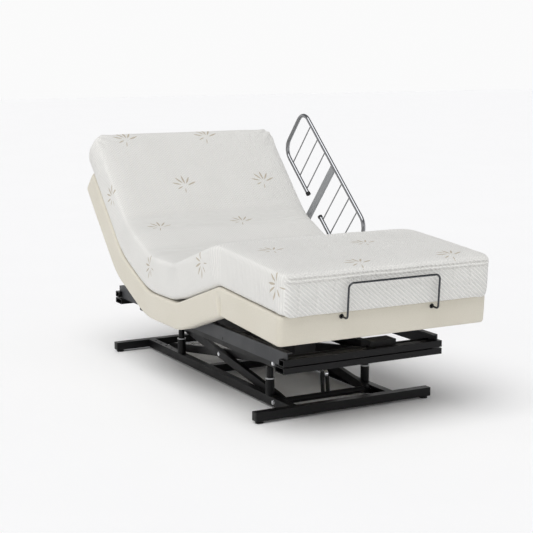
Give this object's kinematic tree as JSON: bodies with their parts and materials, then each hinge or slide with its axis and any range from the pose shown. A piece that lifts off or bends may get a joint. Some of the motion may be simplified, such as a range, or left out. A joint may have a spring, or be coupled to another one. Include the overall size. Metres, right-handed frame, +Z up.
{
  "type": "adjustable bed base",
  "caption": "Adjustable bed with a scissor-lift steel base, folding upholstered deck, mattress, foot retainer and chrome side rail.",
  "frame": {"origin": "on the floor, midway between the outermost points across the bed and along it, with the back raised and the knees bent", "axes": "+X across the bed towards the assist rail's side, +Y along it from the foot to the head, +Z up"},
  "size_m": [0.999, 1.9531, 1.1242],
  "materials": {
    "frame_black": "satin powder coat",
    "plate_black": "satin powder coat",
    "black_plastic": "fine grain",
    "ring": "matt",
    "bolt_steel": "zinc plated",
    "roller": "nylon",
    "upholstery": "fine woven",
    "mattress_cover": "quilted knit",
    "dark_chrome": "dark chrome",
    "chrome": "polished",
    "post_grey": "satin"
  },
  "bodies": {
    "base": {"floor_bar_foot": "frame_black", "floor_bar_head": "frame_black", "bar_end_caps": "black_plastic", "floor_glides": "black_plastic", "base_rail_right": "frame_black", "base_rail_left": "frame_black", "rest_posts": "frame_black", "post_rings": "ring", "base_pivot_bolts": "bolt_steel", "actuator_stand": "frame_black", "actuator_body": "black_plastic"},
    "carriage": {"lift_rail_right": "frame_black", "lift_rail_left": "frame_black", "lower_channels": "frame_black", "upper_channels": "frame_black", "side_plate_right": "plate_black", "side_plate_left": "plate_black", "carriage_pivot_bolts": "bolt_steel", "tie_rod": "frame_black", "control_box": "black_plastic", "drive_housing": "black_plastic", "seat_rails": "frame_black", "seat_upholstery": "upholstery", "seat_mattress": "mattress_cover"},
    "outer_arms": {"outer_arm_right": "frame_black", "outer_arm_left": "frame_black", "crossing_bolts": "bolt_steel", "lift_lever": "frame_black", "upper_axle": "bolt_steel"},
    "inner_arms": {"inner_arm_right": "frame_black", "inner_arm_left": "frame_black", "lower_axle": "bolt_steel"},
    "upper_rollers": {"upper_rollers": "roller"},
    "lower_rollers": {"lower_rollers": "roller"},
    "lift_rod": {"lift_rod": "bolt_steel"},
    "lumbar": {"lumbar_rails": "frame_black", "lumbar_upholstery": "upholstery", "lumbar_mattress": "mattress_cover"},
    "back": {"back_rails": "frame_black", "back_upholstery": "upholstery", "back_mattress": "mattress_cover", "assist_socket": "frame_black"},
    "back_lift": {"back_lift": "frame_black"},
    "back_rollers": {"back_lift_rollers": "roller"},
    "back_slider": {"back_slider": "black_plastic"},
    "thigh": {"thigh_rails": "frame_black", "thigh_upholstery": "upholstery", "thigh_mattress": "mattress_cover"},
    "calf": {"calf_rails": "frame_black", "calf_upholstery": "upholstery", "calf_mattress": "mattress_cover"},
    "leg_lift": {"leg_lift": "frame_black"},
    "leg_rollers": {"leg_lift_rollers": "roller"},
    "leg_slider": {"leg_slider": "black_plastic"},
    "retainer": {"mattress_retainer": "dark_chrome"},
    "assist_rail": {"assist_loop": "chrome", "assist_spindles": "chrome", "assist_sleeves": "black_plastic", "assist_post": "post_grey"}
  },
  "joints": [
    {"name": "bed_lift", "type": "slide", "parent": "base", "child": "carriage", "axis": [0, 0, 1], "range_m": [-0.0098, 0.19]},
    {"name": "outer_scissor", "type": "hinge", "parent": "base", "child": "outer_arms", "pos_m": [-0.017, -0.4775, 0.028], "axis": [1, 0, 0], "range_deg": [-0.6, 10.1]},
    {"name": "inner_scissor", "type": "hinge", "parent": "carriage", "child": "inner_arms", "pos_m": [-0.017, -0.4775, 0.19], "axis": [1, 0, 0], "range_deg": [-10.1, 0.6]},
    {"name": "upper_roller_spin", "type": "hinge", "parent": "outer_arms", "child": "upper_rollers", "pos_m": [-0.017, 0.6381, 0.19], "axis": [1, 0, 0], "continuous": true},
    {"name": "lower_roller_spin", "type": "hinge", "parent": "inner_arms", "child": "lower_rollers", "pos_m": [-0.017, 0.6381, 0.028], "axis": [1, 0, 0], "continuous": true},
    {"name": "lift_rod_slide", "type": "slide", "parent": "base", "child": "lift_rod", "axis": [0, -1, 0], "range_m": [-0.001, 0.017]},
    {"name": "back_raise", "type": "hinge", "parent": "carriage", "child": "lumbar", "pos_m": [-0.017, 0.2795, 0.2995], "axis": [1, 0, 0], "range_deg": [-23, 9.4]},
    {"name": "back_follow", "type": "hinge", "parent": "lumbar", "child": "back", "pos_m": [-0.017, 0.60168, 0.43626], "axis": [1, 0, 0], "range_deg": [-23.1, 9.5]},
    {"name": "back_lift_turn", "type": "hinge", "parent": "carriage", "child": "back_lift", "pos_m": [-0.017, 0.1875, 0.262], "axis": [1, 0, 0], "range_deg": [-21.8, 9]},
    {"name": "back_roller_spin", "type": "hinge", "parent": "back_lift", "child": "back_rollers", "pos_m": [-0.017, 0.66861, 0.45932], "axis": [1, 0, 0], "continuous": true},
    {"name": "back_slider_slide", "type": "slide", "parent": "carriage", "child": "back_slider", "axis": [0, 1, 0], "range_m": [-0.01728, 0.00718]},
    {"name": "thigh_raise", "type": "hinge", "parent": "carriage", "child": "thigh", "pos_m": [-0.017, -0.0465, 0.2995], "axis": [-1, 0, 0], "range_deg": [-18.7, 16.3]},
    {"name": "calf_fold", "type": "hinge", "parent": "thigh", "child": "calf", "pos_m": [-0.017, -0.4377, 0.43191], "axis": [-1, 0, 0], "range_deg": [-19.8, 22.7]},
    {"name": "leg_lift_turn", "type": "hinge", "parent": "carriage", "child": "leg_lift", "pos_m": [-0.017, -0.2325, 0.256], "axis": [-1, 0, 0], "range_deg": [-41.7, 36.4]},
    {"name": "leg_roller_spin", "type": "hinge", "parent": "leg_lift", "child": "leg_rollers", "pos_m": [-0.017, -0.33726, 0.36335], "axis": [1, 0, 0], "continuous": true},
    {"name": "leg_slider_slide", "type": "slide", "parent": "carriage", "child": "leg_slider", "axis": [0, -1, 0], "range_m": [-0.03141, 0.02741]},
    {"name": "retainer_pull", "type": "slide", "parent": "calf", "child": "retainer", "axis": [0, -0.9978, -0.0663], "range_m": [0, 0.06]},
    {"name": "assist_rail_drop", "type": "slide", "parent": "back", "child": "assist_rail", "axis": [0, -0.6613, 0.7501], "range_m": [-0.2, 0]}
  ],
  "couplings": [
    {"joint": "outer_scissor", "follows": "bed_lift", "rad_per_m": 0.908},
    {"joint": "inner_scissor", "follows": "bed_lift", "rad_per_m": -0.908},
    {"joint": "lift_rod_slide", "follows": "bed_lift", "ratio": 0.08172},
    {"joint": "back_follow", "follows": "back_raise", "ratio": 1},
    {"joint": "back_lift_turn", "follows": "back_raise", "ratio": 0.942},
    {"joint": "back_slider_slide", "follows": "back_raise", "m_per_rad": 0.04255},
    {"joint": "calf_fold", "follows": "thigh_raise", "ratio": -1.2032},
    {"joint": "leg_lift_turn", "follows": "thigh_raise", "ratio": 2.222},
    {"joint": "leg_slider_slide", "follows": "thigh_raise", "m_per_rad": 0.09563}
  ]
}
